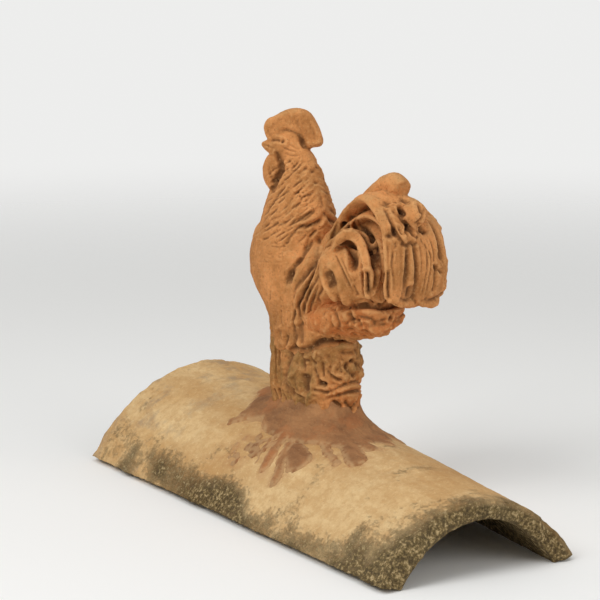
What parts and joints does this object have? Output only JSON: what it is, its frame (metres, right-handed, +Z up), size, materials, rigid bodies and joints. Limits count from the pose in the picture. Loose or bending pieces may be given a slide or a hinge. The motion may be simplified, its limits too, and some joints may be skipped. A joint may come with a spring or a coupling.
{
  "type": "decorative ridge tile",
  "caption": "Tapered barrel ridge tile in buff clay, carrying a hand-modelled terracotta cockerel bedded in red mortar on its crown.",
  "frame": {"origin": "on the ground, below the middle of the ridge tile", "axes": "+X along the ridge towards the tile's narrow end, which the cockerel's tail points to; +Z up; -Y is the side that the cockerel's head is turned to"},
  "size_m": [0.45, 0.23, 0.325],
  "materials": {
    "buff_clay": "weathered buff clay with dark lichen along its lower edges",
    "red_mortar": "reddish brown mortar, smeared by hand",
    "terracotta": "matt terracotta with dusty high places and dark, lichened hollows"
  },
  "bodies": {
    "root": {"ridge_tile": "buff_clay", "mortar_collar": "red_mortar", "cockerel": "terracotta"}
  },
  "joints": []
}
